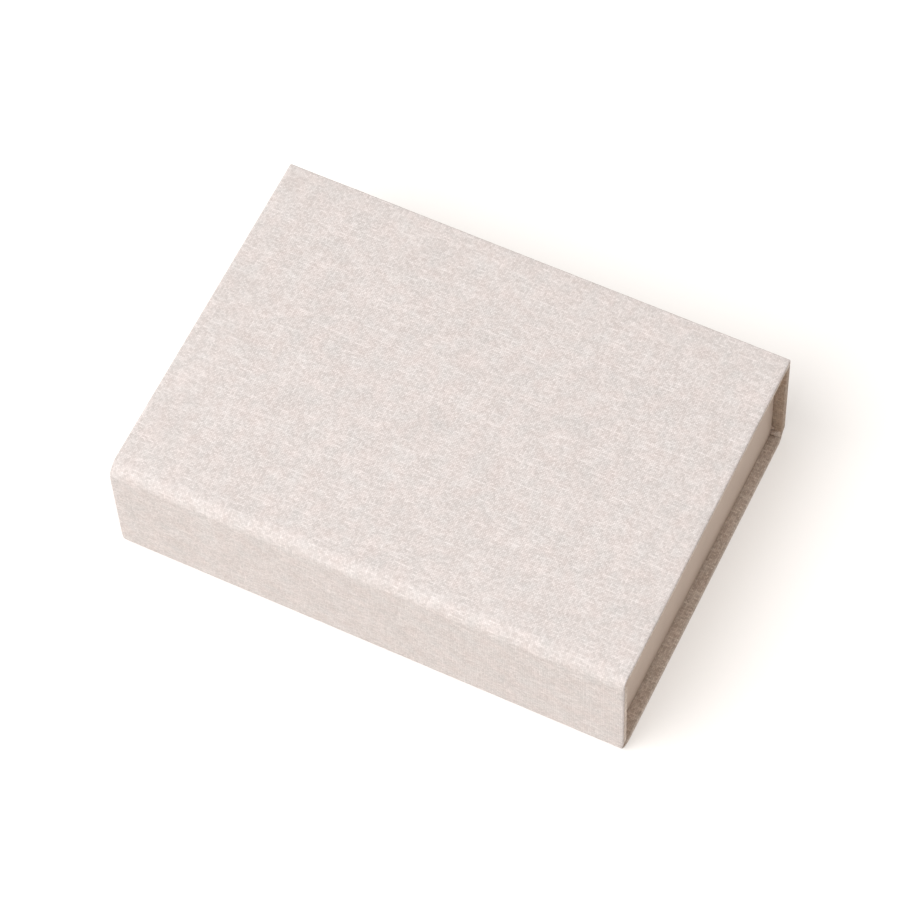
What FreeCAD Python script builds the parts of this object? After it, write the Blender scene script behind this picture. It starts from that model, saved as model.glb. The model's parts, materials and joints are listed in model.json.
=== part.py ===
import FreeCAD, Part
import math
import os
import re

import Sketcher

# Book-style photo storage box: a cloth case of four greyboard panels, folded round a paper-covered tray.
# Frame: +X along the length, -Y towards the spine, +Y towards the front, +Z up.
# Origin: middle of the underside of the closed box.

doc = FreeCAD.newDocument("photo_storage_box")

# Driving dimensions, in millimetres
driving = {
    "case_length": 180.0,
    "case_width": 128.0,
    "case_height": 48.0,
    "case_board": 2.0,
    "cloth": 0.3,
    "turn_in": 15.0,
    "lining_paper": 0.15,
    "lining_border": 3.0,
    "top_fold_radius": 4.8,
    "foot_fold_radius": 3.0,
    "wall_board_lift": 5.0,
    "base_board_setback": 3.8,
    "front_seam": 0.2,
    "end_setback": 4.3,
    "spine_gap": 0.4,
    "lid_gap": 0.2,
    "tray_board": 2.0,
    "tray_wrap": 0.25,
    "floor_paper": 0.2,
    "stay_paper": 0.12,
    "stay_width": 12.0,
}

sheet = doc.addObject("Spreadsheet::Sheet", "Sizes")
for row, (alias, value) in enumerate(driving.items(), start=1):
    sheet.set(f"A{row}", alias)
    sheet.set(f"B{row}", str(value))
    sheet.setAlias(f"B{row}", alias)
doc.recompute()

alias_words = re.compile(r"\b(" + "|".join(driving) + r")\b")


def bound(text):
    """The expression that ties a size to the sheet's cells."""
    return alias_words.sub(r"Sizes.\1", text)


def worth(text):
    """The same size as a number, for a sketch's first guess."""
    shown = alias_words.sub(lambda found: f"({sheet.get(found.group(1))})", text)
    total = FreeCAD.Units.Quantity(shown)
    return total.Value


# Planes of the case, each written from the driving dimensions
right = "case_length / 2"
left = "-case_length / 2"
near = "-case_width / 2"
far = "case_width / 2"
roof = "case_height"
panel = "(case_board + 2 * cloth)"

# Planes of the tray
tray_right = f"({right} - end_setback)"
tray_left = f"({left} + end_setback)"
tray_near = f"({near} + {panel} + cloth + spine_gap)"
tray_far = f"({far} - {panel})"
tray_foot = panel
tray_rim = f"(case_height - {panel} - lining_paper - lid_gap)"

nodes = {}


def keep(shape, name):
    """Marks a shape as one finished sub-part."""
    shape.Label = name
    nodes[name] = shape
    return shape


def block(name, x, y, z):
    """A box between pairs of planes."""
    shape = doc.addObject("Part::Box", name)
    sides = (("Length", "x", x), ("Width", "y", y), ("Height", "z", z))
    for size, axis, (low, high) in sides:
        shape.setExpression(size, bound(f"({high}) - ({low})"))
        shape.setExpression(f"Placement.Base.{axis}", bound(low))
    return shape


def cut(name, base, *tools):
    """The base with each tool taken away."""
    for number, tool in enumerate(tools, start=1):
        result = doc.addObject("Part::Cut", f"{name}_cut_{number}")
        result.Base = base
        result.Tool = tool
        base = result
    return base


def fuse(name, first, second):
    result = doc.addObject("Part::Fuse", name)
    result.Base = first
    result.Tool = second
    return result


def panel_board(name, x, y, z):
    """Greyboard core of one panel of the case."""
    return keep(block(name, x, y, z), name)


def lining_sheet(name, face, plug):
    """A pasted sheet: its face lies over the turned-in cloth, and its plug fills the frame inside the turn-ins."""
    return keep(fuse(f"{name}_sheet", face, plug), name)


# Case: greyboard cores
core_x = (f"{left} + cloth", f"{right} - cloth")
lid_board = panel_board(
    "lid_board",
    core_x,
    (f"{near} + top_fold_radius", f"{far} - cloth"),
    (f"{roof} - cloth - case_board", f"{roof} - cloth"),
)
spine_board = panel_board(
    "spine_board",
    core_x,
    (f"{near} + cloth", f"{near} + cloth + case_board"),
    ("wall_board_lift", f"{roof} - top_fold_radius"),
)
base_board = panel_board(
    "base_board",
    core_x,
    (f"{near} + base_board_setback", f"{far} - base_board_setback"),
    ("cloth", "cloth + case_board"),
)
front_top = f"(case_height - {panel} - front_seam)"
front_board = panel_board(
    "front_board",
    core_x,
    (f"{far} - cloth - case_board", f"{far} - cloth"),
    ("wall_board_lift", f"{front_top} - cloth"),
)

# Case: outer cloth on each panel, folded over the panel's free edges and turned in behind them
window_x = (f"{left} + cloth + turn_in", f"{right} - cloth - turn_in")
lid_y = (f"{near} + top_fold_radius", far)
lid_window_y = (f"{near} + top_fold_radius", f"{far} - cloth - turn_in")
lid_under = f"{roof} - {panel}"
lid_turn_in_z = (lid_under, f"{lid_under} + cloth")
lid_cloth = keep(
    cut(
        "lid_cloth",
        block("lid_cloth_block", (left, right), lid_y, (lid_under, roof)),
        lid_board,
        block("lid_cloth_window", window_x, lid_window_y, lid_turn_in_z),
    ),
    "lid_cloth",
)

spine_y = (near, f"{near} + {panel}")
spine_z = ("wall_board_lift", f"{roof} - top_fold_radius")
spine_turn_in_y = (f"{near} + {panel} - cloth", f"{near} + {panel}")
spine_cloth = keep(
    cut(
        "spine_cloth",
        block("spine_cloth_block", (left, right), spine_y, spine_z),
        spine_board,
        block("spine_cloth_window", window_x, spine_turn_in_y, spine_z),
    ),
    "spine_cloth",
)

base_y = (f"{near} + base_board_setback", f"{far} - base_board_setback")
base_cloth = keep(
    cut(
        "base_cloth",
        block("base_cloth_block", (left, right), base_y, ("0", panel)),
        base_board,
        block("base_cloth_window", window_x, base_y, (f"{panel} - cloth", panel)),
    ),
    "base_cloth",
)

front_y = (f"{far} - {panel}", far)
front_turn_in_y = (f"{far} - {panel}", f"{far} - {panel} + cloth")
front_window_z = ("wall_board_lift", f"{front_top} - cloth - turn_in")
front_cloth = keep(
    cut(
        "front_cloth",
        block("front_cloth_block", (left, right), front_y, ("wall_board_lift", front_top)),
        front_board,
        block("front_cloth_window", window_x, front_turn_in_y, front_window_z),
    ),
    "front_cloth",
)


# Case: cloth folds between the panels, with no board inside, so that the panels can turn
def plane_of(body, role):
    """One of a body's own origin planes."""
    for feature in body.Origin.OriginFeatures:
        if feature.Role == role:
            return feature
    raise ValueError(role)


def fold_strip(name, side, radius, tails, skin, depth, length, roof_fold=False):
    """A strip that turns a quarter round between two panels.

    side is -1 at the spine and +1 at the front; radius is the outer face's; tails are the straight
    runs up the wall and along the flat panel; depth is how far the strip lies under the outer face.
    """
    body = doc.addObject("PartDesign::Body", f"{name}_body")
    sketch = body.newObject("Sketcher::SketchObject", f"{name}_profile")
    sketch.AttachmentSupport = [(plane_of(body, "YZ_Plane"), "")]
    sketch.MapMode = "FlatFace"

    way = -1 if roof_fold else 1
    outer_radius = f"({radius} - {depth})"
    inner_radius = f"({radius} - {depth} - {skin})"
    wall_tail, flat_tail = tails
    centre_y = f"{side} * (case_width / 2 - {radius})"
    centre_z = f"(case_height - {radius})" if roof_fold else f"({radius})"
    y, z = worth(centre_y), worth(centre_z)
    outer, inner = worth(outer_radius), worth(inner_radius)
    up, along = worth(wall_tail), worth(flat_tail)
    point = FreeCAD.Vector

    # The fold's four corners as first guesses, going round from the wall to the flat panel
    wall_outer = point(y + side * outer, z, 0)
    wall_inner = point(y + side * inner, z, 0)
    flat_outer = point(y, z - way * outer, 0)
    flat_inner = point(y, z - way * inner, 0)
    rise = point(0, way * up, 0)
    run = point(-side * along, 0, 0)

    start = math.atan2(-way, 0)
    stop = math.atan2(0, side)
    turns_left = side * way > 0
    first, last = (start, stop) if turns_left else (stop, start)
    if last < first:
        last += 2 * math.pi

    def arc(size):
        circle = Part.Circle(point(y, z, 0), point(0, 0, 1), size)
        return Part.ArcOfCircle(circle, first, last)

    outer_arc = sketch.addGeometry(arc(outer))
    inner_arc = sketch.addGeometry(arc(inner))
    flat_end, wall_end = (1, 2) if turns_left else (2, 1)

    straight = {"vertical": [], "horizontal": []}

    def line(a, b, kind):
        number = sketch.addGeometry(Part.LineSegment(a, b))
        straight[kind].append(number)
        return number

    outer_rise = line(wall_outer, wall_outer + rise, "vertical") if up else None
    inner_rise = line(wall_inner, wall_inner + rise, "vertical") if up else None
    outer_run = line(flat_outer, flat_outer + run, "horizontal") if along else None
    inner_run = line(flat_inner, flat_inner + run, "horizontal") if along else None
    wall_cap = line(wall_outer + rise, wall_inner + rise, "horizontal")
    flat_cap = line(flat_outer + run, flat_inner + run, "vertical")

    join = Sketcher.Constraint
    rules = [join("Coincident", outer_arc, 3, inner_arc, 3)]

    def chain(arc_number, arc_end, tail, cap, cap_end):
        if tail is None:
            rules.append(join("Coincident", arc_number, arc_end, cap, cap_end))
        else:
            rules.append(join("Tangent", arc_number, arc_end, tail, 1))
            rules.append(join("Coincident", tail, 2, cap, cap_end))

    chain(outer_arc, wall_end, outer_rise, wall_cap, 1)
    chain(inner_arc, wall_end, inner_rise, wall_cap, 2)
    chain(outer_arc, flat_end, outer_run, flat_cap, 1)
    chain(inner_arc, flat_end, inner_run, flat_cap, 2)
    rules.append(join("Horizontal", wall_cap))
    rules.append(join("Vertical", flat_cap))
    if up:
        rules.append(join("Vertical", outer_rise))
    else:
        rules.append(join("PointOnObject", outer_arc, 3, wall_cap))
    if along:
        rules.append(join("Horizontal", outer_run))
    else:
        rules.append(join("PointOnObject", outer_arc, 3, flat_cap))
    sketch.addConstraint(rules)

    def sized(rule, label, text):
        number = sketch.addConstraint(rule)
        sketch.renameConstraint(number, label)
        sketch.setExpression(f"Constraints.{label}", bound(text))

    sized(join("Radius", outer_arc, outer), "outer_radius", outer_radius)
    sized(join("Radius", inner_arc, inner), "inner_radius", inner_radius)
    sized(join("DistanceX", -1, 1, outer_arc, 3, y), "centre_y", centre_y)
    sized(join("DistanceY", -1, 1, outer_arc, 3, z), "centre_z", centre_z)
    if up:
        sized(join("Distance", outer_rise, up), "wall_tail", wall_tail)
    if along:
        sized(join("Distance", outer_run, along), "flat_tail", flat_tail)

    pad = body.newObject("PartDesign::Pad", f"{name}_pad")
    pad.Profile = sketch
    pad.SideType = "Symmetric"
    pad.setExpression("Length", bound(length))
    sketch.Visibility = False
    return keep(body, name)


foot_tails = ("(wall_board_lift - foot_fold_radius)", "(base_board_setback - foot_fold_radius)")
roof_tails = ("0", "0")
lining_length = "(case_length - 2 * lining_border)"
fold_strip("top_fold_cloth", -1, "top_fold_radius", roof_tails, "cloth", "0", "case_length", roof_fold=True)
fold_strip("top_fold_lining", -1, "top_fold_radius", roof_tails, "cloth", "cloth", lining_length, roof_fold=True)
fold_strip("foot_fold_cloth", -1, "foot_fold_radius", foot_tails, "cloth", "0", "case_length")
fold_strip("foot_fold_lining", -1, "foot_fold_radius", foot_tails, "cloth", "cloth", lining_length)
fold_strip("front_fold_cloth", 1, "foot_fold_radius", foot_tails, "cloth", "0", "case_length")
fold_strip("front_fold_lining", 1, "foot_fold_radius", foot_tails, "cloth", "cloth", lining_length)

# Case: linings on the inner faces of the lid and the spine
lined_x = (f"{left} + lining_border", f"{right} - lining_border")
lining_sheet(
    "lid_lining",
    block(
        "lid_lining_face",
        lined_x,
        (f"{near} + top_fold_radius + lining_border", f"{far} - lining_border"),
        (f"{lid_under} - lining_paper", lid_under),
    ),
    block(
        "lid_lining_plug",
        window_x,
        (f"{near} + top_fold_radius + lining_border", f"{far} - cloth - turn_in"),
        lid_turn_in_z,
    ),
)
lining_sheet(
    "spine_lining",
    block("spine_lining_face", lined_x, (f"{near} + {panel}", f"{near} + {panel} + cloth"), spine_z),
    block("spine_lining_plug", window_x, spine_turn_in_y, spine_z),
)

# Tray: floor and four walls of greyboard; the long walls run the full length, the end walls stand between them
wrap_x = (f"{tray_left} + tray_wrap", f"{tray_right} - tray_wrap")
wrap_y = (f"{tray_near} + tray_wrap", f"{tray_far} - tray_wrap")
wall_z = (f"{tray_foot} + tray_board", f"{tray_rim} - tray_wrap")
end_wall_y = (f"{wrap_y[0]} + tray_board", f"{wrap_y[1]} - tray_board")
keep(block("tray_floor_board", wrap_x, wrap_y, (tray_foot, f"{tray_foot} + tray_board")), "tray_floor_board")
tray_walls = {
    "tray_spine_wall": (wrap_x, (wrap_y[0], f"{wrap_y[0]} + tray_board")),
    "tray_front_wall": (wrap_x, (f"{wrap_y[1]} - tray_board", wrap_y[1])),
    "tray_left_wall": ((wrap_x[0], f"{wrap_x[0]} + tray_board"), end_wall_y),
    "tray_right_wall": ((f"{wrap_x[1]} - tray_board", wrap_x[1]), end_wall_y),
}
for name, (x, y) in tray_walls.items():
    keep(block(name, x, y, wall_z), name)

# Tray: gummed paper stays folded round the four outer corners, under the wrap
stays = []
for y_name, y_side in (("spine", 0), ("front", 1)):
    for x_name, x_side in (("left", 0), ("right", 1)):
        x_corner, y_corner = wrap_x[x_side], wrap_y[y_side]
        x_out = "-" if x_side == 0 else "+"
        y_out = "-" if y_side == 0 else "+"
        x_in = "+" if x_side == 0 else "-"
        y_in = "+" if y_side == 0 else "-"
        x_span = [f"{x_corner} {x_out} stay_paper", f"{x_corner} {x_in} stay_width"]
        y_span = [f"{y_corner} {y_out} stay_paper", f"{y_corner} {y_in} stay_width"]
        x_core = [x_corner, f"{x_corner} {x_in} stay_width"]
        y_core = [y_corner, f"{y_corner} {y_in} stay_width"]
        if x_side:
            x_span.reverse()
            x_core.reverse()
        if y_side:
            y_span.reverse()
            y_core.reverse()
        name = f"corner_stay_{y_name}_{x_name}"
        stay_z = (tray_foot, wall_z[1])
        stay = cut(
            name,
            block(f"{name}_block", x_span, y_span, stay_z),
            block(f"{name}_corner", x_core, y_core, stay_z),
        )
        stays.append(keep(stay, name))

# Tray: paper wrap over the outside, the rim and the inside of the walls
cavity_x = (f"{wrap_x[0]} + tray_board + tray_wrap", f"{wrap_x[1]} - tray_board - tray_wrap")
cavity_y = (f"{wrap_y[0]} + tray_board + tray_wrap", f"{wrap_y[1]} - tray_board - tray_wrap")
wall_inner_x = (f"{wrap_x[0]} + tray_board", f"{wrap_x[1]} - tray_board")
floor_top = f"({tray_foot} + tray_board)"
tray_shell = cut(
    "tray_shell",
    block("tray_shell_block", wrap_x, wrap_y, (tray_foot, wall_z[1])),
    block("tray_shell_inside", wall_inner_x, end_wall_y, (floor_top, wall_z[1])),
)
keep(
    cut(
        "tray_wrap",
        block("tray_wrap_block", (tray_left, tray_right), (tray_near, tray_far), (tray_foot, tray_rim)),
        tray_shell,
        block("tray_wrap_cavity", cavity_x, cavity_y, (floor_top, tray_rim)),
        *stays,
    ),
    "tray_wrap",
)
keep(
    block("tray_floor_paper", cavity_x, cavity_y, (floor_top, f"{floor_top} + floor_paper")),
    "tray_floor_paper",
)

doc.recompute()

# Every object has to be sound before anything is written
for item in doc.Objects:
    if "Invalid" in item.State or "Error" in item.State:
        raise RuntimeError(f"{item.Name} failed: {item.State}")
for name, item in nodes.items():
    if item.Shape.isNull() or not item.Shape.isValid() or not item.Shape.Solids:
        raise RuntimeError(f"{name} has no sound solid")

os.makedirs("parts", exist_ok=True)
for name, item in nodes.items():
    item.Shape.exportStep(f"parts/{name}.step")
    print(name, len(item.Shape.Solids), round(item.Shape.Volume, 2))


# Hinge lines: a cloth fold keeps its length, so a quarter fold of radius r turns about a line r * (1 - pi / 4) inside
def hinge_inset(radius):
    return worth(radius) * (1 - math.pi / 4)


spine_inset = hinge_inset("foot_fold_radius")
lid_inset = hinge_inset("top_fold_radius")
print("spine hinge y z", round(worth(near) + spine_inset, 4), round(spine_inset, 4))
print("lid hinge y z", round(worth(near) + lid_inset, 4), round(worth(roof) - lid_inset, 4))
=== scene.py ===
import json
import math

import bmesh
import bpy
from mathutils import Matrix, Vector, noise


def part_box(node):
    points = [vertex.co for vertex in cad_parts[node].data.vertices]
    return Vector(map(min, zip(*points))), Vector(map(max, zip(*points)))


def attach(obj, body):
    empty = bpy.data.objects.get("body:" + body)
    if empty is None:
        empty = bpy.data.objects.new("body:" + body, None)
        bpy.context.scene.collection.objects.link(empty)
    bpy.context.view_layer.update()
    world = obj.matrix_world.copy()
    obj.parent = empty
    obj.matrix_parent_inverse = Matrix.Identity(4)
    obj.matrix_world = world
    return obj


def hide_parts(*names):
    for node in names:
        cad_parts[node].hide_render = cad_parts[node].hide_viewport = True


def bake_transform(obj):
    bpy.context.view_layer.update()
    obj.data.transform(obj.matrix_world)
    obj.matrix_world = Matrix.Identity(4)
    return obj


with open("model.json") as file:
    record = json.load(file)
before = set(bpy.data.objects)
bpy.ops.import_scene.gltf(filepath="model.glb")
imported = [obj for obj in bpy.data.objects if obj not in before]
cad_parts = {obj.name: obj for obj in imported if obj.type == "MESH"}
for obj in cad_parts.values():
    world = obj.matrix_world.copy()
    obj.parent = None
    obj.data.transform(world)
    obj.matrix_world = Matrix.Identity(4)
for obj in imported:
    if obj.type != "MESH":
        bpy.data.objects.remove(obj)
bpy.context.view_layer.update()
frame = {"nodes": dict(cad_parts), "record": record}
print("frame loaded:", len(frame["nodes"]), "nodes")

mm = 0.001
quarter = math.pi / 2  # a quarter turn

# Bodies of the frame
baseBody = "case_and_tray"
lidBody = "lid"

# Places taken from the frame
lidLow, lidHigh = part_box("lid_cloth")
spineLow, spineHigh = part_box("spine_cloth")
baseLow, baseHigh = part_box("base_cloth")
frontLow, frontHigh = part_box("front_cloth")
trayLow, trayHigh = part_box("tray_wrap")
paperLow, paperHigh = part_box("lid_lining")
floorPaperLow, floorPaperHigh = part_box("tray_floor_paper")
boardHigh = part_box("lid_board")[1]
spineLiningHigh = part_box("spine_lining")[1]

# Sizes that follow from them
halfLength = lidHigh.x
nearFace = spineLow.y
farFace = frontHigh.y
panelDepth = lidHigh.z - lidLow.z
clothThickness = lidHigh.x - boardHigh.x
paperThickness = lidLow.z - paperLow.z
topRadius = lidLow.y - nearFace
liningHalf = spineLiningHigh.x


def linear(red, green, blue):
    # Colours are given as seen in a picture, and the nodes want them linear
    def one(value):
        share = value / 255
        return share / 12.92 if share <= 0.04045 else ((share + 0.055) / 1.055) ** 2.4

    return (one(red), one(green), one(blue), 1.0)


def ease(share):
    share = min(max(share, 0.0), 1.0)
    return share * share * (3 - 2 * share)


# Materials
def newMaterial(name):
    material = bpy.data.materials.new(name)
    material.use_nodes = True
    tree = material.node_tree
    shader = next(node for node in tree.nodes if node.type == "BSDF_PRINCIPLED")
    return material, tree, shader


def addNode(tree, kind, **settings):
    node = tree.nodes.new(kind)
    for key, value in settings.items():
        setattr(node, key, value)
    return node


def feed(tree, socket, source):
    # A link from another socket, or a plain value
    if hasattr(source, "is_output"):
        tree.links.new(source, socket)
    else:
        socket.default_value = source


def calc(tree, operation, first, second=None, third=None):
    node = addNode(tree, "ShaderNodeMath", operation=operation)
    for socket, source in zip(node.inputs, (first, second, third)):
        if source is not None:
            feed(tree, socket, source)
    return node.outputs[0]


def noiseAt(tree, vector, scale, detail=2.0, roughness=0.5):
    node = addNode(tree, "ShaderNodeTexNoise")
    feed(tree, node.inputs["Vector"], vector)
    node.inputs["Scale"].default_value = scale
    node.inputs["Detail"].default_value = detail
    node.inputs["Roughness"].default_value = roughness
    return node.outputs["Fac"]


def stretched(tree, vector, scale):
    node = addNode(tree, "ShaderNodeVectorMath", operation="MULTIPLY")
    feed(tree, node.inputs[0], vector)
    node.inputs[1].default_value = scale
    return node.outputs[0]


def joinedAxes(tree, x, y, z=0.0):
    node = addNode(tree, "ShaderNodeCombineXYZ")
    for socket, source in zip(node.inputs, (x, y, z)):
        feed(tree, socket, source)
    return node.outputs[0]


def chosen(tree, share, first, second):
    node = addNode(tree, "ShaderNodeMix", data_type="FLOAT")
    for place, source in ((0, share), (2, first), (3, second)):
        feed(tree, node.inputs[place], source)
    return node.outputs[0]


def blended(tree, share, first, second):
    node = addNode(tree, "ShaderNodeMix", data_type="RGBA")
    for place, source in ((0, share), (6, first), (7, second)):
        feed(tree, node.inputs[place], source)
    return node.outputs[2]


def levels(tree, value, low, high):
    node = addNode(tree, "ShaderNodeMapRange")
    feed(tree, node.inputs["Value"], value)
    node.inputs["From Min"].default_value = low
    node.inputs["From Max"].default_value = high
    return node.outputs[0]


def shadeColour(tree, shade, look):
    share = levels(tree, shade, look["darkAt"], look["lightAt"])
    return blended(tree, share, look["dark"], look["light"])


def addBump(tree, shader, height, strength, depth):
    bump = addNode(tree, "ShaderNodeBump")
    bump.inputs["Strength"].default_value = strength
    bump.inputs["Distance"].default_value = depth
    feed(tree, bump.inputs["Height"], height)
    feed(tree, shader.inputs["Normal"], bump.outputs[0])


def newGroup(name, inputs, outputs):
    group = bpy.data.node_groups.new(name, "ShaderNodeTree")
    for label, kind in inputs:
        group.interface.new_socket(label, in_out="INPUT", socket_type=kind)
    for label, kind in outputs:
        group.interface.new_socket(label, in_out="OUTPUT", socket_type=kind)
    return group, addNode(group, "NodeGroupInput").outputs, addNode(group, "NodeGroupOutput").inputs


weaveLook = {
    "warpPerMetre": 1600,
    "weftPerMetre": 1800,
    "stray": 1.2,  # how far a thread wanders, in spacings
    "strayAcross": 180.0,  # how quickly that changes, per metre, from thread to thread and along a thread
    "strayAlong": 420.0,
    "warpSlubLength": 0.012,  # metres along a thread
    "weftSlubLength": 0.007,
    "warpSpread": 7.31,  # keeps the slubs of neighbouring threads apart
    "weftSpread": 5.87,
    "slubStart": 0.5,  # a thread thickens where its noise is between these two
    "slubFull": 0.75,
    "warpShare": 0.43,  # how much the slubs of the warp show beside those of the weft
    "slubHeight": 0.6,  # beside the height of a thread
}


def makeWeaveGroup():
    # Linen: two sets of uneven threads that pass over and under each other
    number, vector = "NodeSocketFloat", "NodeSocketVector"
    group, given, result = newGroup(
        "linenWeave",
        [("Map", vector)],
        [("Thread", number), ("Slub", number), ("Speck", number), ("Height", number)],
    )
    look = weaveLook
    parts = addNode(group, "ShaderNodeSeparateXYZ")
    feed(group, parts.inputs[0], given["Map"])

    def threads(axis, perMetre, stretch):
        # The number of the thread at each place, and its round back
        wander = noiseAt(group, stretched(group, given["Map"], stretch), 1.0, detail=3.0, roughness=0.7)
        count = calc(group, "MULTIPLY", parts.outputs[axis], perMetre)
        place = calc(group, "MULTIPLY_ADD", wander, look["stray"], count)
        wave = calc(group, "SINE", calc(group, "MULTIPLY", place, math.pi))
        return calc(group, "FLOOR", place), calc(group, "ABSOLUTE", wave)

    across, along = look["strayAcross"], look["strayAlong"]
    warpNumber, warpBack = threads("X", look["warpPerMetre"], (across, along, 1.0))
    weftNumber, weftBack = threads("Y", look["weftPerMetre"], (along, across, 1.0))

    # Which set is on top at each crossing
    crossing = calc(group, "PINGPONG", calc(group, "ADD", warpNumber, weftNumber), 1.0)
    over = chosen(group, crossing, warpBack, weftBack)

    def slubs(axis, length, thread, spread):
        # Here and there a thread is thicker for a short way
        run = calc(group, "MULTIPLY", parts.outputs[axis], 1 / length)
        place = joinedAxes(group, run, calc(group, "MULTIPLY", thread, spread))
        return levels(group, noiseAt(group, place, 1.0, detail=1.0), look["slubStart"], look["slubFull"])

    warpSlub = slubs("Y", look["warpSlubLength"], warpNumber, look["warpSpread"])
    weftSlub = slubs("X", look["weftSlubLength"], weftNumber, look["weftSpread"])
    slub = calc(group, "MULTIPLY_ADD", warpSlub, look["warpShare"], weftSlub)
    speck = addNode(group, "ShaderNodeTexWhiteNoise", noise_dimensions="2D")
    feed(group, speck.inputs["Vector"], joinedAxes(group, warpNumber, weftNumber))
    feed(group, result["Thread"], over)
    feed(group, result["Slub"], slub)
    feed(group, result["Speck"], speck.outputs["Value"])
    feed(group, result["Height"], calc(group, "MULTIPLY_ADD", slub, look["slubHeight"], over))
    return group


linenLook = {
    "light": linear(223, 214, 210),
    "dark": linear(177, 168, 163),
    "pink": linear(211, 191, 184),
    "cool": linear(194, 196, 194),
    "tintShare": 0.17,
    "pinkAt": 0.3,
    "coolAt": 0.7,
    "slubShare": 0.31,  # what each part adds to the shade, which runs from darkAt to lightAt
    "threadShare": 0.4,
    "speckShare": 0.5,
    "patchShare": 0.08,
    "cloudShare": 0.34,
    "darkAt": 0.29,
    "lightAt": 1.29,
    "patchScale": 450.0,  # per metre
    "cloudScale": 80.0,
    "tintScale": 150.0,
    "roughness": 0.92,
    "threadGloss": 0.12,  # how much smoother the back of a thread is
    "specular": 0.25,
    "sheen": 0.05,
    "bump": 0.5,
    "bumpDepth": 0.12 * mm,
}

# Painted warm shade: a browner copy of the linen for the cloth on the inner side and on the boards' end
# faces, standing in for the warm light in the shaded recesses
turnedShadeLook = dict(linenLook, light=linear(254, 240, 226), dark=linear(181, 159, 142))

# Painted deep shade: a darker, browner copy of the linen for the inside of the front panel, where the lid
# and tray keep the light off
frontShadeLook = dict(linenLook, light=linear(206, 184, 162), dark=linear(138, 112, 90))


def makeLinen(name, look):
    material, tree, shader = newMaterial(name)
    uv = addNode(tree, "ShaderNodeUVMap", uv_map="clothMap")
    cloth = addNode(tree, "ShaderNodeGroup", node_tree=weaveGroup)
    feed(tree, cloth.inputs["Map"], uv.outputs[0])
    patch = noiseAt(tree, uv.outputs[0], look["patchScale"], detail=3.0, roughness=0.6)
    cloud = noiseAt(tree, uv.outputs[0], look["cloudScale"], detail=3.0, roughness=0.6)
    tint = noiseAt(tree, uv.outputs[0], look["tintScale"], roughness=0.6)
    shade = calc(tree, "MULTIPLY", cloth.outputs["Slub"], look["slubShare"])
    for part, share in (
        (cloth.outputs["Thread"], look["threadShare"]),
        (cloth.outputs["Speck"], look["speckShare"]),
        (patch, look["patchShare"]),
        (cloud, look["cloudShare"]),
    ):
        shade = calc(tree, "MULTIPLY_ADD", part, share, shade)
    hue = blended(tree, levels(tree, tint, look["pinkAt"], look["coolAt"]), look["pink"], look["cool"])
    colour = blended(tree, look["tintShare"], shadeColour(tree, shade, look), hue)
    feed(tree, shader.inputs["Base Color"], colour)
    rough = calc(tree, "MULTIPLY_ADD", cloth.outputs["Thread"], -look["threadGloss"], look["roughness"])
    feed(tree, shader.inputs["Roughness"], rough)
    shader.inputs["Sheen Weight"].default_value = look["sheen"]
    shader.inputs["Specular IOR Level"].default_value = look["specular"]
    addBump(tree, shader, cloth.outputs["Height"], look["bump"], look["bumpDepth"])
    return material


fibreLook = {
    "stretches": ((1.0, 3.2, 2.1), (2.7, 1.1, 1.9)),  # two sets of fibres, each drawn out its own way
    "cloudScale": 0.04,  # beside the scale of the fibres
}


def makeFibreGroup():
    # Short pale and dark fibres, for paper and board
    number, vector = "NodeSocketFloat", "NodeSocketVector"
    group, given, result = newGroup(
        "paperFibre",
        [("Place", vector), ("Scale", number)],
        [("Fibre", number), ("Cloud", number)],
    )
    scaled = addNode(group, "ShaderNodeVectorMath", operation="SCALE")
    feed(group, scaled.inputs[0], given["Place"])
    feed(group, scaled.inputs["Scale"], given["Scale"])
    one, two = (
        noiseAt(group, stretched(group, scaled.outputs[0], stretch), 1.0, detail=3.0, roughness=0.6)
        for stretch in fibreLook["stretches"]
    )
    feed(group, result["Fibre"], calc(group, "MULTIPLY", calc(group, "ADD", one, two), 0.5))
    feed(group, result["Cloud"], noiseAt(group, scaled.outputs[0], fibreLook["cloudScale"], detail=3.0))
    return group


trayPaperLook = {
    "light": linear(215, 197, 183),
    "dark": linear(201, 183, 169),
    "fibreScale": 1800.0,  # per metre
    "fibreShare": 0.7,
    "cloudShare": 0.3,
    "darkAt": 0.35,
    "lightAt": 0.65,
    "roughness": 0.63,
    "fibreRoughness": 0.15,  # on top of that
    "specular": 0.3,
    "bump": 0.15,
    "bumpDepth": 0.05 * mm,
}
liningPaperLook = dict(trayPaperLook, light=linear(221, 205, 190), dark=linear(209, 193, 178))
boardLook = dict(trayPaperLook, light=linear(184, 178, 168), dark=linear(150, 144, 134))
boardLook.update(fibreScale=900.0, roughness=0.83, bump=0.4)
stayLook = dict(trayPaperLook, light=linear(196, 164, 122), dark=linear(178, 144, 104))
stayLook.update(fibreScale=1500.0, roughness=0.43, bump=0.2)


def makePaper(name, look):
    material, tree, shader = newMaterial(name)
    place = addNode(tree, "ShaderNodeTexCoord")
    paper = addNode(tree, "ShaderNodeGroup", node_tree=fibreGroup)
    fibre = paper.outputs["Fibre"]
    feed(tree, paper.inputs["Place"], place.outputs["Object"])
    paper.inputs["Scale"].default_value = look["fibreScale"]
    shade = calc(tree, "MULTIPLY", fibre, look["fibreShare"])
    shade = calc(tree, "MULTIPLY_ADD", paper.outputs["Cloud"], look["cloudShare"], shade)
    feed(tree, shader.inputs["Base Color"], shadeColour(tree, shade, look))
    rough = calc(tree, "MULTIPLY_ADD", fibre, look["fibreRoughness"], look["roughness"])
    feed(tree, shader.inputs["Roughness"], rough)
    shader.inputs["Specular IOR Level"].default_value = look["specular"]
    addBump(tree, shader, fibre, look["bump"], look["bumpDepth"])
    return material


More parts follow.
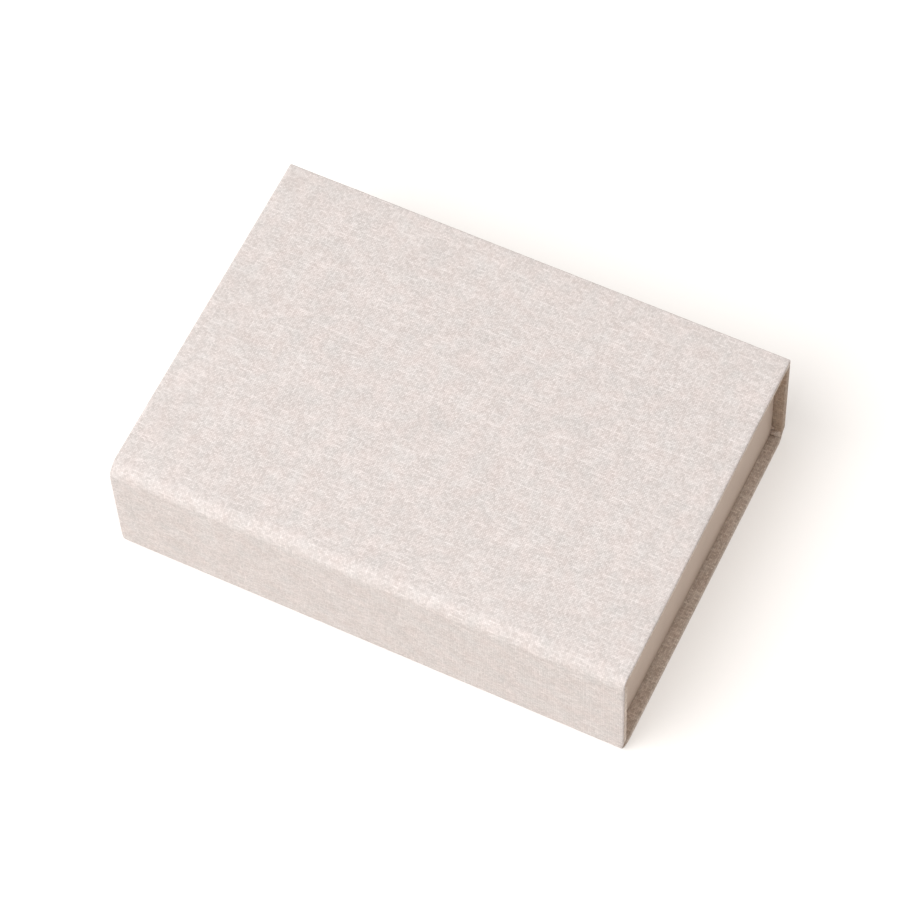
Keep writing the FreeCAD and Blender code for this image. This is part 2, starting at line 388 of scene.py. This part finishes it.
weaveGroup = makeWeaveGroup()
fibreGroup = makeFibreGroup()
linen = makeLinen("sandLinen", linenLook)
turnedShadeLinen = makeLinen("turnedShadeLinen", turnedShadeLook)
frontShadeLinen = makeLinen("frontShadeLinen", frontShadeLook)
trayPaper = makePaper("taupePaper", trayPaperLook)
liningPaper = makePaper("taupeLiningPaper", liningPaperLook)
greyboard = makePaper("rawGreyboard", boardLook)
stayPaper = makePaper("gummedPaper", stayLook)
print("materials made")


# Sections of the case: a path in the YZ plane that the cloth's outer face follows
def walk(start, heading, side, moves):
    # A move is "go" or "turn", a length or radius, a number of steps, and the part of the cut that it makes
    # side is 1 where the inside lies to the left of the way walked, and -1 where it lies to the right
    y, z = start
    run = 0.0
    stations = [dict(y=y, z=z, heading=heading, run=run, part=moves[0][3])]
    for kind, size, steps, part in moves:
        for step in range(steps):
            if kind == "go":
                y += math.cos(heading) * size / steps
                z += math.sin(heading) * size / steps
                run += size / steps
            else:
                centreY = y - math.sin(heading) * size * side
                centreZ = z + math.cos(heading) * size * side
                heading += quarter / steps * side
                y = centreY + math.sin(heading) * size * side
                z = centreZ - math.cos(heading) * size * side
                run += size * quarter / steps
            stations.append(dict(y=y, z=z, heading=heading, run=run, part=part))
    for station in stations:
        station["inY"] = -math.sin(station["heading"]) * side
        station["inZ"] = math.cos(station["heading"]) * side
    return stations


caseShape = {
    "footRadius": 3 * mm,  # outer radius of the two folds at the foot
    "edgeRadius": 0.45 * mm,  # of the cloth round a board's edges
    "turnIn": 15 * mm,
    "seamHeight": 8 * mm,  # on the spine, where the two cuts of cloth meet
    "flatStep": 3 * mm,  # from column to column on the flat
    "endZone": 12 * mm,  # at both ends, with columns that come closer and closer
    "zoneSteps": (0.22, 0.42, 0.6, 0.75, 0.87, 1.0),
    "underSteps": (0.03, 0.07, 0.12, 0.17, 0.23, 0.3, 0.38, 0.55, 0.78, 1.0),  # on the turned-in cloth
    "rollSteps": 4,  # round a board's edge
    "stripSteps": 3,  # over its thickness
    "turnInSteps": 5,
    "foldMargin": 3 * mm,  # beside a fold, with finer steps
    "wallMargin": 4 * mm,  # the same above the front fold
    "topDrop": 2.8 * mm,  # the run over which the inner layer drops from a board's face into a fold
    "footDrop": 1.6 * mm,
    "topPull": 0.2 * mm,  # how far the two ends of a fold draw in
    "footPull": 0.45 * mm,
    "pullPast": 1 * mm,  # how far beyond the fold they still do
    "bulge": 0.6 * mm,  # how high the inner layer of the still fold stands
    "bulgePower": 1.5,
    "bulgeStart": 0.6 * mm,  # the run over which it rises beside the tray
    "bulgeLead": 0.8,  # how much of that run lies under the tray's end
    "bulgeEnd": 1.7 * mm,  # the run over which it falls at the case's end
    "creaseDepth": 1.4 * mm,
    "creaseAt": 0.12,  # a share of the fold, from either side
    "creaseWidth": 0.06,
    "ripple": 0.03 * mm,
    "ripplePerMetre": (90, 260),
}

edge = caseShape["edgeRadius"]
seam = caseShape["seamHeight"]
footRadius = caseShape["footRadius"]
margin = caseShape["foldMargin"]
rollSteps, stripSteps = caseShape["rollSteps"], caseShape["stripSteps"]
endZoneStart = halfLength - caseShape["endZone"]

# The cloth's flaps on the inner side, as marked on its faces
leftFlap, rightFlap, edgeFlap = 1, 2, 3

# Slots of the cloth's materials
turnedShadeSlot, frontShadeSlot = 1, 2


def acrossColumns():
    # Columns across the cloth, from the middle out: over the face, round the end, and tucked in behind
    flats = round(endZoneStart / caseShape["flatStep"])
    right = [("flat", endZoneStart * step / flats) for step in range(1, flats + 1)]
    right += [("zone", share) for share in caseShape["zoneSteps"]]
    right += [("roll", quarter * step / rollSteps) for step in range(1, rollSteps + 1)]
    right += [("strip", step / stripSteps) for step in range(1, stripSteps + 1)]
    right += [("tuck", quarter * step / rollSteps) for step in range(1, rollSteps + 1)]
    right += [("under", share) for share in caseShape["underSteps"]]
    columns = [(kind, value, -1) for kind, value in reversed(right)]
    return columns + [("flat", 0.0, 1)] + [(kind, value, 1) for kind, value in right]


def acrossPlace(column, station):
    # Where a column lies at a station: x, depth under the outer face, and cloth's length from the middle
    kind, value, sign = column
    depth = station["depth"]
    end = halfLength - station["pull"]
    radius = min(edge, depth / 2)
    faceEnd = end - radius
    arc = radius * quarter
    strip = depth - 2 * radius
    if kind == "flat":
        x, down, run = value, 0.0, value
    elif kind == "zone":
        x = endZoneStart + (faceEnd - endZoneStart) * value
        down, run = 0.0, x
    elif kind == "roll":
        x = faceEnd + radius * math.sin(value)
        down = radius * (1 - math.cos(value))
        run = faceEnd + radius * value
    elif kind == "strip":
        x = end
        down = radius + strip * value
        run = faceEnd + arc + strip * value
    elif kind == "tuck":
        x = faceEnd + radius * math.cos(value)
        down = depth - radius + radius * math.sin(value)
        run = faceEnd + arc + strip + radius * value
    else:
        back = value * caseShape["turnIn"]
        x = faceEnd - back
        down = depth
        run = faceEnd + 2 * arc + strip + back
    return x * sign, down, run * sign


def inside(station, x, down):
    # A point on the case's inner side, which bulges away from the outer one in the still fold's end margins
    y = station["y"] + station["inY"] * down
    z = station["z"] + station["inZ"] * down
    if "bulge" in station:
        fromTray = abs(x) - trayHigh.x
        fromEnd = halfLength - station["pull"] - abs(x)
        share = ease(fromTray / caseShape["bulgeStart"] + caseShape["bulgeLead"])
        share *= ease(fromEnd / caseShape["bulgeEnd"])
        extra = down - station["depth"]
        bulgeY, bulgeZ, wayY, wayZ = station["bulge"]
        y += (bulgeY + wayY * extra - y) * share
        z += (bulgeZ + wayZ * extra - z) * share
    return y, z


def ripple(x, y, z):
    # A slight unevenness of the pasted cloth
    place = Vector((x, y, z))
    coarse, fine = caseShape["ripplePerMetre"]
    return caseShape["ripple"] * (1 + noise.noise(place * coarse) + 0.5 * noise.noise(place * fine))


def gridSheet(columns, rows):
    # A flat grid with one column and one row of vertices for each station
    bm = bmesh.new()
    bmesh.ops.create_grid(bm, x_segments=columns - 1, y_segments=rows - 1, size=0.5)
    spots = {}
    for vert in bm.verts:
        i = round((vert.co.x + 0.5) * (columns - 1))
        j = round((vert.co.y + 0.5) * (rows - 1))
        spots[vert] = (i, j)
    return bm, spots


def turnFaces(bm, faces, outwards):
    # Turns the sheet so that the faces given look away from the middle of the closed box, or towards it
    bmesh.ops.recalc_face_normals(bm, faces=bm.faces)
    middle = Vector((0, 0, lidHigh.z / 2))
    facing = sum(face.normal.dot(face.calc_center_median() - middle) for face in faces)
    if (facing > 0) != outwards:
        bmesh.ops.reverse_faces(bm, faces=bm.faces)


def finishMesh(bm, name, material):
    mesh = bpy.data.meshes.new(name)
    bm.to_mesh(mesh)
    bm.free()
    mesh.materials.append(material)
    return mesh


def addObject(name, data):
    thing = bpy.data.objects.new(name, data)
    bpy.context.scene.collection.objects.link(thing)
    return thing


def finishSheet(bm, name, material, thickness):
    # The mesh is the sheet's shown face, and the thickness lies behind it
    for line in bm.edges:
        line.smooth = not line.is_boundary
    mesh = finishMesh(bm, name, material)
    mesh.shade_smooth()
    piece = addObject(name, mesh)
    solid = piece.modifiers.new("thickness", "SOLIDIFY")
    solid.thickness = thickness
    solid.offset = -1.0
    return piece


def foldCloth(name, stations, mapSign, mitrePoint, mitreWay, frontShadeFrom):
    # Folds a flat cut of cloth along the stations and round both ends
    # Past the given run its inner side takes the darker painted shade
    columns = acrossColumns()
    kinds = [column[0] for column in columns]
    bm, spots = gridSheet(len(columns), len(stations))
    cloth = bm.loops.layers.uv.new("clothMap")
    flap = bm.faces.layers.int.new("flap")
    waste = []
    for face in bm.faces:
        for loop in face.loops:
            i, j = spots[loop.vert]
            run = acrossPlace(columns[i], stations[j])[2]
            loop[cloth].uv = (run, seam + mapSign * stations[j]["run"])
        i = min(spots[vert][0] for vert in face.verts)
        j = min(spots[vert][1] for vert in face.verts)
        here = {kinds[i], kinds[i + 1]}
        part = stations[j + 1]["part"]

        # The cloth's corners are cut away past the free edge
        if part != "face" and here & {"strip", "tuck", "under"}:
            waste.append(face)
        elif part == "turnIn" and "roll" in here:
            waste.append(face)
        elif "under" in here:
            face[flap] = leftFlap if columns[i][2] < 0 else rightFlap
        elif part == "turnIn":
            face[flap] = edgeFlap
        # The flaps and the boards' end faces take the painted-shade copy of the linen, and past the given
        # run the darker one
        if face[flap] or here & {"strip", "tuck"}:
            face.material_index = frontShadeSlot if stations[j]["run"] > frontShadeFrom else turnedShadeSlot
    for vert, (i, j) in spots.items():
        station = stations[j]
        x, down = acrossPlace(columns[i], station)[:2]
        if kinds[i] == "under":
            y, z = inside(station, x, down)
        else:
            lift = ripple(x, station["y"], station["z"]) if kinds[i] in ("flat", "zone") else 0.0
            y = station["y"] + station["inY"] * (down - lift)
            z = station["z"] + station["inZ"] * (down - lift)
        vert.co = (x, y, z)
    bmesh.ops.delete(bm, geom=waste, context="FACES")

    # The flaps meet in a mitre at each corner
    for sign, endFlap in ((-1, leftFlap), (1, rightFlap)):
        for number, way in ((endFlap, 1), (edgeFlap, -1)):
            faces = [face for face in bm.faces if face[flap] == number]
            edges = dict.fromkeys(line for face in faces for line in face.edges)
            verts = dict.fromkeys(vert for face in faces for vert in face.verts)
            geom = [*faces, *edges, *verts]
            point = Vector((mitrePoint.x * sign, mitrePoint.y, mitrePoint.z))
            normal = Vector((mitreWay.x * sign, mitreWay.y, mitreWay.z)) * way
            bmesh.ops.bisect_plane(
                bm, geom=geom, plane_co=point, plane_no=normal, dist=1e-7, clear_outer=True
            )
    bmesh.ops.remove_doubles(bm, verts=bm.verts, dist=1e-6)
    turnFaces(bm, [face for face in bm.faces if face[flap] == 0], outwards=True)
    piece = finishSheet(bm, name, linen, clothThickness)
    piece.data.materials.append(turnedShadeLinen)
    piece.data.materials.append(frontShadeLinen)
    return piece


def shapeStations(stations, folds, drop):
    # folds is a list of (start, end, pull) along the path, from board to board
    thin = 2 * clothThickness
    for station in stations:
        share, pull = 0.0, 0.0
        for start, end, most in folds:
            run = station["run"]
            share = max(share, ease((run - start) / drop) * ease((end - run) / drop))
            half = (end - start) / 2
            pull = max(pull, most * ease(1 - abs(run - start - half) / (half + caseShape["pullPast"])))
        station["depth"] = panelDepth + (thin - panelDepth) * share
        station["pull"] = pull


def bulgeStations(stations, start, end, fromPoint, toPoint):
    # The inner layer of the still fold stands up between two creases
    chord = toPoint - fromPoint
    way = Vector((-chord.y, chord.x)).normalized()
    creases = (caseShape["creaseAt"], 1 - caseShape["creaseAt"])
    for station in stations:
        share = (station["run"] - start) / (end - start)
        if 0 <= share <= 1:
            crease = sum(math.exp(-(((share - at) / caseShape["creaseWidth"]) ** 2)) for at in creases)
            rise = caseShape["bulge"] * math.sin(math.pi * share) ** caseShape["bulgePower"]
            rise -= caseShape["creaseDepth"] * crease
            point = fromPoint + chord * share + way * rise
            station["bulge"] = (point.x, point.y, way.x, way.y)


freeEdge = [
    ("turn", edge, rollSteps, "edge"),
    ("go", panelDepth - 2 * edge, stripSteps, "edge"),
    ("turn", edge, rollSteps, "edge"),
    ("go", caseShape["turnIn"] - edge, caseShape["turnInSteps"], "turnIn"),
]


def lidStations(lastMoves):
    # Up the spine from the seam, round the top fold and out over the lid
    rise = spineHigh.z - seam
    moves = [
        ("go", rise - margin, 12, "face"),
        ("go", margin, 8, "face"),
        ("turn", topRadius, 22, "face"),
        ("go", margin, 8, "face"),
    ]
    stations = walk((nearFace, seam), quarter, -1, moves + lastMoves)
    fold = (rise, rise + topRadius * quarter, caseShape["topPull"])
    shapeStations(stations, [fold], caseShape["topDrop"])
    return stations


def makeLidCover():
    # Lid, top fold and spine are one cut of cloth
    length = lidHigh.y - lidLow.y - edge - margin
    stations = lidStations([("go", length, 44, "face")] + freeEdge)
    corner = Vector((halfLength - edge, farFace - edge, lidLow.z))
    mitreWay = Vector((-1, 1, 0)).normalized()
    cover = foldCloth("lid_and_spine_cloth", stations, 1, corner, mitreWay, math.inf)
    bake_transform(cover)
    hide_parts("lid_cloth", "spine_cloth", "top_fold_cloth")


def makeBaseCover():
    # Foot fold, base, front fold and front are one cut of cloth
    drop = seam - footRadius
    flat = (farFace - footRadius) - (nearFace + footRadius)
    rise = frontHigh.z - footRadius - edge
    wallMargin = caseShape["wallMargin"]
    moves = [
        ("go", drop, 16, "face"),
        ("turn", footRadius, 14, "face"),
        ("go", margin, 10, "face"),
        ("go", flat - 2 * margin, 40, "face"),
        ("go", margin, 10, "face"),
        ("turn", footRadius, 14, "face"),
        ("go", wallMargin, 13, "face"),
        ("go", rise - wallMargin, 14, "face"),
    ]
    stations = walk((nearFace, seam), -quarter, 1, moves + freeEdge)
    curve = footRadius * quarter
    wallTail = spineLow.z - footRadius
    flatTail = (baseLow.y - nearFace) - footRadius
    nearFold = (drop - wallTail, drop + curve + flatTail)
    farStart = drop + curve + flat
    farFold = (farStart - flatTail, farStart + curve + wallTail)
    pull = caseShape["footPull"]
    shapeStations(stations, [(*nearFold, pull), (*farFold, pull)], caseShape["footDrop"])
    innerBase = Vector((baseHigh.y, baseHigh.z))
    innerFront = Vector((frontLow.y, frontLow.z))
    bulgeStations(stations, *farFold, innerBase, innerFront)
    corner = Vector((halfLength - edge, frontLow.y, frontHigh.z - edge))
    mitreWay = Vector((-1, 0, 1)).normalized()
    cover = foldCloth("base_and_front_cloth", stations, -1, corner, mitreWay, farFold[1])
    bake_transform(cover)
    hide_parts("base_cloth", "front_cloth", "foot_fold_cloth", "front_fold_cloth")
    return stations, nearFold, farFold


makeLidCover()
baseStations, nearFold, farFold = makeBaseCover()
print("outer cloth folded")


# Linings on the case's inner side
liningShape = {
    "innerSteps": (0.25, 0.5, 0.75, 0.95),  # shares of the way out to the turned-in cloth
    "edgeOffsets": (-0.6, -0.3, 0.0, 0.3, 0.6, 1.2, 4.0, 8.0),  # millimetres from its raw edge
    "marginSteps": (-0.4, 0.0, 0.15, 0.3, 0.45, 0.6, 0.8, 1.0),  # shares of the way from the tray's end
    "stepWidth": 1.2 * mm,  # over which a lining climbs onto the turned-in cloth
    "mapOffset": 0.31,  # sets the threads of a lining apart from the cover's
    "lidReach": 2.4 * mm,  # how far short of the lid's paper the spine's lining ends
    "tuckRun": 1.0 * mm,  # its last stretch, which sinks below the paper
    "tuckDepth": 0.5 * mm,
    "footShort": 0.1 * mm,  # from the end of the foot fold
    "frontBefore": 0.9 * mm,  # how far the front strip goes on before its fold, and past it
    "frontPast": 3 * mm,
    "paperRows": 24,
    "paperRipple": 0.5,  # a share of the cloth's
}

rawEdgeX = halfLength - caseShape["turnIn"] - clothThickness
rawEdgeY = farFace - caseShape["turnIn"] - clothThickness


def liningColumns(half):
    # Closer together over the turned-in cloth's raw edge and in the end margin
    right = [rawEdgeX * share for share in liningShape["innerSteps"]]
    right += [rawEdgeX + offset * mm for offset in liningShape["edgeOffsets"]]
    right += [trayHigh.x + (half - trayHigh.x) * share for share in liningShape["marginSteps"]]
    return [-x for x in reversed(right)] + [0.0] + right


def climb(place, rawEdge):
    return ease((place - rawEdge) / liningShape["stepWidth"] + 0.5)


def liningCloth(name, stations, mapSign, tuckFrom=math.inf):
    # From the run tuckFrom on, the lining sinks below its neighbour
    columns = liningColumns(liningHalf)
    bm, spots = gridSheet(len(columns), len(stations))
    cloth = bm.loops.layers.uv.new("clothMap")
    for face in bm.faces:
        for loop in face.loops:
            i, j = spots[loop.vert]
            loop[cloth].uv = (columns[i] + liningShape["mapOffset"], seam + mapSign * stations[j]["run"])
    for vert, (i, j) in spots.items():
        station = stations[j]
        x = columns[i]
        down = station["depth"] + clothThickness * climb(abs(x), rawEdgeX)
        down -= liningShape["tuckDepth"] * ease((station["run"] - tuckFrom) / liningShape["tuckRun"])
        vert.co = (x, *inside(station, x, down))
    turnFaces(bm, bm.faces, outwards=False)
    piece = finishSheet(bm, name, turnedShadeLinen, clothThickness)
    return piece


def makeSpineLining():
    stations = lidStations([("go", paperLow.y - lidLow.y - liningShape["lidReach"], 6, "face")])
    last = stations[-1]["run"]
    piece = liningCloth("spine_lining_cloth", stations, 1, last - liningShape["tuckRun"])
    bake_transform(piece)
    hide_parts("spine_lining", "top_fold_lining")


def makeFootLinings():
    # One strip in the moving fold at the spine, and one in the still fold at the front
    end = nearFold[1] - liningShape["footShort"]
    near = [station for station in baseStations if station["run"] < end]
    piece = liningCloth("foot_fold_lining_cloth", near, -1)
    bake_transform(piece)
    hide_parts("foot_fold_lining")

    start, end = farFold[0] - liningShape["frontBefore"], farFold[1] + liningShape["frontPast"]
    far = [station for station in baseStations if start < station["run"] < end]
    piece = liningCloth("front_fold_lining_cloth", far, -1)
    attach(piece, baseBody)
    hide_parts("front_fold_lining")


def makeLidPaper():
    # The lid's lining paper sinks a little inside the turned-in cloth
    columns = liningColumns(paperHigh.x)
    count = liningShape["paperRows"]
    depth = rawEdgeY + liningShape["edgeOffsets"][0] * mm - paperLow.y
    rows = [paperLow.y + depth * step / count for step in range(count)]
    rows += [rawEdgeY + offset * mm for offset in liningShape["edgeOffsets"]]
    rows.append(paperHigh.y)
    bm, spots = gridSheet(len(columns), len(rows))
    for vert, (i, j) in spots.items():
        x, y = columns[i], rows[j]
        over = max(climb(abs(x), rawEdgeX), climb(y, rawEdgeY))
        z = lidLow.z + clothThickness * (1 - over) - paperThickness
        vert.co = (x, y, z + ripple(x, y, z) * liningShape["paperRipple"])
    turnFaces(bm, bm.faces, outwards=False)
    piece = finishSheet(bm, "lid_lining_paper", liningPaper, paperThickness)
    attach(piece, lidBody)
    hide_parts("lid_lining")


makeSpineLining()
makeFootLinings()
makeLidPaper()
print("linings laid")


trayShape = {
    "rimRadius": 0.42 * mm,
    "rimSegments": 4,
    "sharpFrom": 40,  # degrees
    "skew": 0.6 * mm,  # how much further out the right end stands at the front than at the spine
}


def makeTrayWrap():
    # Paper over the outside, the rim and the inside of the walls
    bm = bmesh.new()
    bmesh.ops.create_cube(bm, size=1.0)
    size = trayHigh - trayLow
    bmesh.ops.scale(bm, vec=size, verts=bm.verts)
    bmesh.ops.translate(bm, vec=(trayHigh + trayLow) / 2, verts=bm.verts)
    top = [face for face in bm.faces if face.normal.z > 0.9]
    wall = floorPaperLow.x - trayLow.x
    bmesh.ops.inset_region(bm, faces=top, thickness=wall, use_even_offset=True)
    well = bmesh.ops.extrude_face_region(bm, geom=top)
    deep = [item for item in well["geom"] if isinstance(item, bmesh.types.BMVert)]
    bmesh.ops.delete(bm, geom=top, context="FACES")
    bmesh.ops.translate(bm, vec=(0, 0, floorPaperLow.z - trayHigh.z), verts=deep)
    bmesh.ops.recalc_face_normals(bm, faces=bm.faces)
    tiny = 0.01 * mm

    def atOutside(vert):
        return abs(abs(vert.co.x) - trayHigh.x) < tiny

    def isUpright(line):
        first, second = line.verts
        return abs(first.co.z - second.co.z) > size.z / 2 and atOutside(first) and atOutside(second)

    def isRim(line):
        atTop = all(abs(vert.co.z - trayHigh.z) < tiny for vert in line.verts)
        return atTop and line.calc_face_angle(0) > 0.5

    soft = [line for line in bm.edges if isUpright(line) or isRim(line)]
    radius = trayShape["rimRadius"]
    segments = trayShape["rimSegments"]
    bmesh.ops.bevel(
        bm, geom=soft, offset=radius, affect="EDGES", segments=segments, profile=0.5, material=-1
    )
    for vert in bm.verts:
        if trayHigh.x - vert.co.x < radius + tiny:
            vert.co.x += trayShape["skew"] * (vert.co.y - trayLow.y) / size.y
    mesh = finishMesh(bm, "tray_wrap_paper", trayPaper)
    mesh.shade_smooth()
    mesh.set_sharp_from_angle(angle=math.radians(trayShape["sharpFrom"]))
    piece = addObject("tray_wrap_paper", mesh)
    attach(piece, baseBody)
    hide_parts("tray_wrap")


floorPaperShape = {
    "clearance": 0.5 * mm,  # both sides together
    "columns": 40,
    "rows": 28,
    "thicknessShare": 0.8,
}


def makeFloorPaper():
    shape = floorPaperShape
    size = floorPaperHigh - floorPaperLow
    middle = (floorPaperHigh + floorPaperLow) / 2
    length, width = size.x - shape["clearance"], size.y - shape["clearance"]
    bm = bmesh.new()
    bmesh.ops.create_grid(bm, x_segments=shape["columns"], y_segments=shape["rows"], size=0.5)
    bmesh.ops.scale(bm, vec=(length, width, 1), verts=bm.verts)
    bmesh.ops.translate(bm, vec=(middle.x, middle.y, floorPaperHigh.z), verts=bm.verts)
    for vert in bm.verts:
        vert.co.z -= ripple(*vert.co)
    piece = finishSheet(bm, "tray_floor_paper_sheet", trayPaper, size.z * shape["thicknessShare"])
    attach(piece, baseBody)
    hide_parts("tray_floor_paper")


makeTrayWrap()
makeFloorPaper()
print("tray papered")


def finishNodes():
    # Boards and stays keep their shape and get their finish
    finishes = {"greyboard": greyboard, "stay_paper": stayPaper}
    for row in frame["record"]["subparts"]:
        finish = finishes.get(row["material_slot"])
        if finish is not None:
            node = frame["nodes"][row["node"]]
            node.data.materials.clear()
            node.data.materials.append(finish)


finishNodes()
print("boards and stays finished")


# Stage, light and camera
stageLook = {
    "floorSize": 6.0,
    "floorColour": (0.5, 0.485, 0.47, 1.0),
    "floorGlow": (0.5, 0.48, 0.46, 1.0),  # a light table, so the shadows on it stay faint
    "glowStrength": 1.0,
    "floorRoughness": 0.9,
    "floorSpecular": 0.1,
    "skyOpen": (1.0, 0.97, 0.94, 1.0),
    "skyDim": (0.15, 0.1, 0.065, 1.0),  # low at the near right, where no light stands
    "skyStrength": 0.55,
    "dimWay": (0.8, -0.5, -0.7),
    "dimStart": 0.0,
    "dimEnd": 0.5,
    "keyColour": (0.98, 1.0, 1.02),
    "keyPower": 87.0,
    "keySize": 2.2,
    "keyPlace": (-0.72, -1.25, 2.22),
}


def makeFloor():
    material, tree, shader = newMaterial("paleFloor")
    shader.inputs["Base Color"].default_value = stageLook["floorColour"]
    shader.inputs["Emission Color"].default_value = stageLook["floorGlow"]
    shader.inputs["Emission Strength"].default_value = stageLook["glowStrength"]
    shader.inputs["Roughness"].default_value = stageLook["floorRoughness"]
    shader.inputs["Specular IOR Level"].default_value = stageLook["floorSpecular"]
    bm = bmesh.new()
    bmesh.ops.create_grid(bm, x_segments=1, y_segments=1, size=stageLook["floorSize"] / 2)
    floor = addObject("floor", finishMesh(bm, "floor", material))


def makeLights():
    world = bpy.data.worlds.new("studio")
    world.use_nodes = True
    tree = world.node_tree
    sky = tree.nodes["Background"]
    way = addNode(tree, "ShaderNodeTexCoord")
    toDim = addNode(tree, "ShaderNodeVectorMath", operation="DOT_PRODUCT")
    feed(tree, toDim.inputs[0], way.outputs["Generated"])
    toDim.inputs[1].default_value = stageLook["dimWay"]
    side = levels(tree, toDim.outputs["Value"], stageLook["dimStart"], stageLook["dimEnd"])
    feed(tree, sky.inputs["Color"], blended(tree, side, stageLook["skyOpen"], stageLook["skyDim"]))
    sky.inputs["Strength"].default_value = stageLook["skyStrength"]
    bpy.context.scene.world = world
    light = bpy.data.lights.new("key", "AREA")
    light.color = stageLook["keyColour"]
    light.shape = "DISK"
    light.size = stageLook["keySize"]
    light.energy = stageLook["keyPower"]
    key = addObject("key", light)
    key.location = stageLook["keyPlace"]
    key.rotation_euler = (-key.location).to_track_quat("-Z", "Y").to_euler()


cameraPlace = {
    "lens": 158.98,  # millimetres, like the sensor
    "sensor": 36.0,
    "elevation": 60.54,  # degrees
    "azimuth": 28.85,
    "roll": -3.45,
    "distance": 1.2891,  # metres from the target
    "target": (-0.00159, 0.00079, 0.0225),
}


def makeCamera():
    data = bpy.data.cameras.new("camera")
    data.lens = cameraPlace["lens"]
    data.sensor_width = cameraPlace["sensor"]
    camera = addObject("camera", data)
    rise, turn = math.radians(cameraPlace["elevation"]), math.radians(cameraPlace["azimuth"])
    back = Vector((math.sin(turn) * math.cos(rise), -math.cos(turn) * math.cos(rise), math.sin(rise)))
    camera.location = Vector(cameraPlace["target"]) + back * cameraPlace["distance"]
    facing = (-back).to_track_quat("-Z", "Y").to_matrix().to_4x4()
    facing = facing @ Matrix.Rotation(math.radians(cameraPlace["roll"]), 4, "Z")
    camera.rotation_euler = facing.to_euler()
    bpy.context.scene.camera = camera


makeFloor()
makeLights()
makeCamera()
bpy.context.scene.view_settings.view_transform = "Standard"
print("stage, lights and camera placed")
